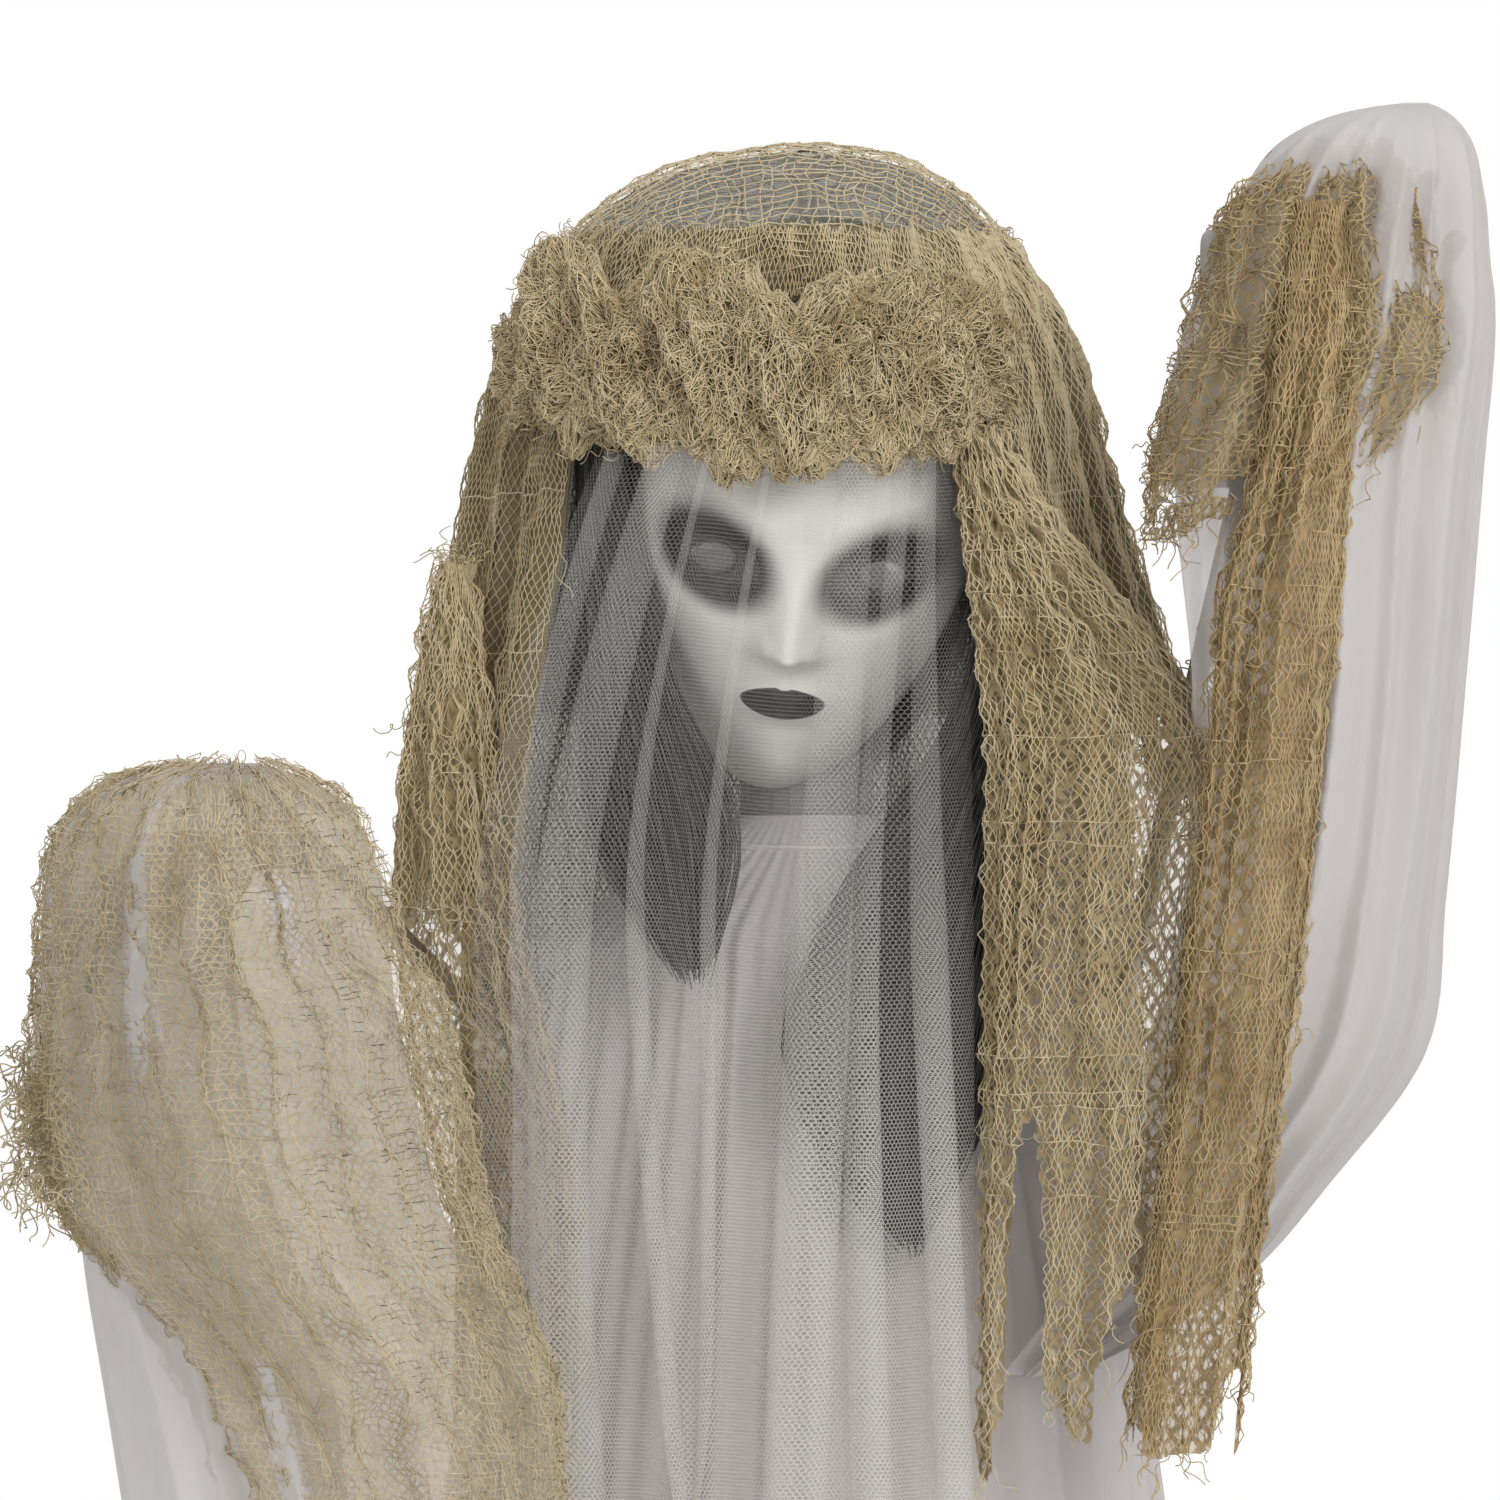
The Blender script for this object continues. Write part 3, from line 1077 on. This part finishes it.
def make_wreath():
    """The frayed crown: a lumpy arc over the brow."""
    sections = []
    middle_z = WREATH_TOP_Z - WREATH_HALF_HEIGHT
    for angle in spread(math.radians(-68), math.radians(52), 18):
        end = min(1, 0.25 + 3 * (1 - abs((angle + math.radians(8)) / math.radians(60))))
        lump = 1 + 0.10 * math.sin(11 * angle)
        ring = []
        for n in range(8):
            lean = TURN * n / 8
            out = WREATH_HALF_THICKNESS * end * lump * math.cos(lean)
            if n in (3, 4, 5):
                out *= WREATH_INNER_SHARE
            up = WREATH_HALF_HEIGHT * (0.55 + 0.45 * end) * math.sin(lean)
            ring.append(Vector((WREATH_SHIFT + (WREATH_HALF_WIDTH + out) * math.sin(angle),
                                -(WREATH_HALF_DEPTH + out) * math.cos(angle), middle_z + up)))
        sections.append(ring)
    loft("wreath", sections, CHEESECLOTH)


VEIL_SHARES = (
    (0, 0.40, 0.76, 0.96, 0.66),
    (0.10, 0.74, 0.88, 0.97, 0.70),
    (0.24, 1.07, 1.00, 0.99, 0.76),
    (0.35, 1.09, 1.01, 1.00, 0.80),
    (0.60, 0.97, 0.99, 1.00, 0.86),
    (1, 0.74, 0.97, 1.02, 0.92),
)


def make_veil():
    """The tulle that hangs from the crown over the face and chest."""
    top = WREATH_TOP_Z - 2 * WREATH_HALF_HEIGHT - GAP

    def place(down, across):
        shift, half, centre, edge = smooth_row(VEIL_SHARES, down)
        u = 2 * across - 1
        x = VEIL_SHIFT * shift + VEIL_HALF_WIDTH * half * u
        y = VEIL_FRONT_Y * (edge + (centre - edge) * (1 - u * u))
        y += VEIL_FOLD * down * math.sin(across * TURN * 4)
        return Vector((x, y, top - VEIL_LENGTH * down))

    sheet("veil", place, even(9), 16, TULLE)


def lerp(a, b, t):
    """A value between two ends."""
    return a + (b - a) * t


FALL_GAP = CLOTH / 2 + GAP
LEFT_FALL_SEAM_SHARES = (0.70, 0.86)
LEFT_FALL_FRONT_SHARE = 1.04
RIGHT_FALL_SIDE_SHARES = (0.84, 0.54)
RIGHT_FALL_FRONT_SHARE = 0.72
LEFT_FALL_X_SHARES = ((0, 0.41, 0.70), (0.12, 0.405, 0.68), (0.4, 0.40, 0.66), (1, 0.39, 0.62))


def make_falls():
    """Torn strips of cheesecloth that hang from the hood's front edges."""
    columns = 8

    def left_side(down, across):
        seam = hood_ring(1, math.radians(lerp(31, 52, min(across / 0.5, 1))))
        if across > 0.5:
            seam.x = lerp(seam.x, HOOD_HALF_WIDTH * LEFT_FALL_SEAM_SHARES[0], (across - 0.5) / 0.5)
            seam.y = lerp(seam.y, -HOOD_HALF_DEPTH * LEFT_FALL_SEAM_SHARES[1], (across - 0.5) / 0.5)
        inner, outer = smooth_row(LEFT_FALL_X_SHARES, down)
        x = HOOD_HALF_WIDTH * lerp(inner, outer, across)
        y = -HOOD_HALF_DEPTH * LEFT_FALL_FRONT_SHARE + FALL_FOLD * math.sin(across * TURN * 2.5)
        ease = min(down / 0.25, 1)
        z = seam.z - 2 * GAP - LEFT_FALL_LENGTH * down
        return Vector((lerp(seam.x, x, ease), lerp(seam.y, y, ease), z))

    def torn(down, across):
        cell = int(across * columns)
        return (cell == 2 and down > 0.48) or (cell == 5 and down > 0.70)

    sheet("front_fall_left", left_side, even(9), columns, CHEESECLOTH, skip=torn)

    def right_side(down, across):
        seam = hood_ring(HOOD_LEFT_HEM_SHARE, math.radians(lerp(-61, -46.5, across)))
        x = -HOOD_HALF_WIDTH * lerp(*RIGHT_FALL_SIDE_SHARES, across)
        y = -HOOD_HALF_DEPTH * RIGHT_FALL_FRONT_SHARE + FALL_FOLD * math.sin(across * TURN * 1.5)
        ease = min(down / 0.3, 1)
        z = seam.z - 2 * GAP - RIGHT_FALL_LENGTH * down
        return Vector((lerp(seam.x, x, ease), lerp(seam.y, y, ease), z))

    sheet("front_fall_right", right_side, even(7), 5, CHEESECLOTH)


def tent(name, apex, table, size, rows, look, missing, extra=0, folds=6):
    """Cloth draped over a hand, in rings that widen downwards. Size holds length, half width and half depth."""
    length, half_width, half_depth = size

    def place(down, across):
        shift, back, wide, front = smooth_row(table, down)
        angle = TURN * across - math.pi
        ripple = SLEEVE_FOLD * min(down * length / TENT_FOLD_DROP, 1) * wave(angle, folds)
        ripple += 1.8 * extra
        lift = extra * max(1 - down * length / TENT_FOLD_DROP, 0)
        halves = [half_width * wide, half_width * wide, half_depth * front, half_depth * front]
        centre = (apex.x + half_width * shift, apex.y + half_depth * back)
        if down == 0:
            return Vector((apex.x, apex.y, apex.z + extra))
        return ring_point(apex.z + lift - length * down, angle, centre, halves, ripple)

    def left_out(down, across):
        return missing(down, math.degrees(TURN * across - math.pi))

    return sheet(name, place, rows, 20, look, closed=True, skip=left_out, apex=True)


TENT_FOLD_DROP = 0.150
SLEEVE_LEFT_SIZE = (0.560, 0.075, 0.055)
SLEEVE_RIGHT_SIZE = (0.360, 0.074, 0.088)
SCARF_LEFT_LENGTH = 0.600
SCARF_RIGHT_LENGTH = 0.400
SLEEVE_LEFT_SHARES = (
    (0, 0, 0, 0.10, 0.15),
    (0.003, -0.14, 0, 0.56, 0.50),
    (0.030, -0.20, 0.05, 0.74, 0.74),
    (0.080, -0.28, 0.20, 0.92, 0.84),
    (0.155, -0.36, 0.35, 0.95, 0.90),
    (0.31, -0.50, 0.50, 0.98, 0.95),
    (0.47, -0.62, 0.85, 0.90, 0.75),
    (0.60, -0.70, 0.95, 0.85, 0.52),
    (0.74, -0.80, 0.95, 0.79, 0.48),
    (1, -1.50, 0.8, 0.70, 0.30),
)
SCARF_LEFT_LOWER_SHARES = (
    (0.76, -0.84, 0.8, 0.82, 0.60),
    (1, -1.02, 0.6, 0.76, 0.75),
)
SLEEVE_RIGHT_SHARES = (
    (0, 0, 0, 0.08, 0.08),
    (0.002, -0.02, -0.34, 0.66, 0.68),
    (0.05, -0.06, -0.76, 0.84, 1.04),
    (0.12, -0.08, -0.90, 0.94, 1.17),
    (0.225, -0.06, -0.92, 1.00, 1.20),
    (0.34, 0.04, -0.66, 1.04, 1.04),
    (0.50, 0.26, -0.42, 1.10, 0.95),
    (0.74, 0.50, 0, 1.18, 0.85),
    (1.12, 0.80, 0.3, 1.20, 0.80),
)
SLEEVE_LEFT_ROW_SHARES = (0, 0.003, 0.03, 0.08, 0.155, 0.25, 0.37, 0.50, 0.64, 0.78, 0.90, 1)
SLEEVE_RIGHT_ROW_SHARES = (0, 0.002, 0.05, 0.12, 0.225, 0.34, 0.50, 0.66, 0.83, 1)


def highest(piece):
    """The highest point of a piece's mesh."""
    return max((vert.co for vert in piece.data.vertices), key=lambda place: place.z).copy()


def over(piece):
    """The apex of a cloth that rests on the top of a piece."""
    top = highest(piece)
    return Vector((top.x, top.y, top.z + 4 * GAP + CLOTH / 2))


def make_left_cloths():
    """The raised arm's sleeve, open towards the shoulder, and the scarf down its front."""
    length, half_width, half_depth = SLEEVE_LEFT_SIZE
    apex = over(bpy.data.objects["hand_left"])

    def sleeve_open(down, degrees):
        hem = 0.87 - 0.14 * math.sin(math.radians(degrees))
        return down > hem or (down > 0.37 and -170 < degrees < -30)

    tent("sleeve_left", apex, SLEEVE_LEFT_SHARES, SLEEVE_LEFT_SIZE, SLEEVE_LEFT_ROW_SHARES, WHITE_SHEER,
         sleeve_open)
    share = length / SCARF_LEFT_LENGTH
    upper = tuple((row[0] * share, *row[1:]) for row in SLEEVE_LEFT_SHARES[:8])
    rows = [row * share for row in SLEEVE_LEFT_ROW_SHARES[:8]] + [0.64, 0.78, 0.90, 1]

    def scarf_open(down, degrees):
        low = -91 if down < 0.27 else -55
        high = 37 if down < 0.33 else 1
        return not low < degrees < high

    tent("scarf_left", apex, upper + SCARF_LEFT_LOWER_SHARES, (SCARF_LEFT_LENGTH, half_width, half_depth), rows,
         CHEESECLOTH, scarf_open, CLOTH + 2 * GAP)


def make_right_cloths():
    """The lower arm's sleeve and scarf, both open behind where the wire arm comes in."""
    length, half_width, half_depth = SLEEVE_RIGHT_SIZE
    apex = over(bpy.data.objects["hand_right"])

    def sleeve_open(down, degrees):
        return down > 0.02 and 80 < degrees

    tent("sleeve_right", apex, SLEEVE_RIGHT_SHARES, SLEEVE_RIGHT_SIZE, SLEEVE_RIGHT_ROW_SHARES, WHITE_SHEER,
         sleeve_open)
    share = length / SCARF_RIGHT_LENGTH
    table = tuple((row[0] * share, *row[1:]) for row in SLEEVE_RIGHT_SHARES)
    rows = [row * share for row in SLEEVE_RIGHT_ROW_SHARES] + [1]

    def scarf_open(down, degrees):
        hem = min(max(0.45 + (degrees + 90) / 160, 0.45), 1.1) if degrees < 120 else 0.6
        return down > hem or (down > 0.02 * share and 62 < degrees)

    tent("scarf_right", apex, table, (SCARF_RIGHT_LENGTH, half_width, half_depth), rows, CHEESECLOTH,
         scarf_open, CLOTH + 2 * GAP)


make_spine()
make_head()
lock("hair_lock_left", 1, LEFT_LOCK_LENGTH, LEFT_LOCK_SHARES, LEFT_LOCK_TOP_SHARE)
lock("hair_lock_right", -1, RIGHT_LOCK_LENGTH, RIGHT_LOCK_SHARES, RIGHT_LOCK_TOP_SHARE)
make_eyes()
make_head_drive()
make_housing()
make_drive()
make_controls()
make_battery_box()
make_arm(1, "left", WRIST_LEFT, LEFT_ACROSS, LEFT_CURL, LEFT_REACH)
make_arm(-1, "right", WRIST_RIGHT, RIGHT_ACROSS, RIGHT_CURL, RIGHT_REACH)
make_robe()
make_hood()
make_wreath()
make_veil()
make_falls()
make_left_cloths()
make_right_cloths()
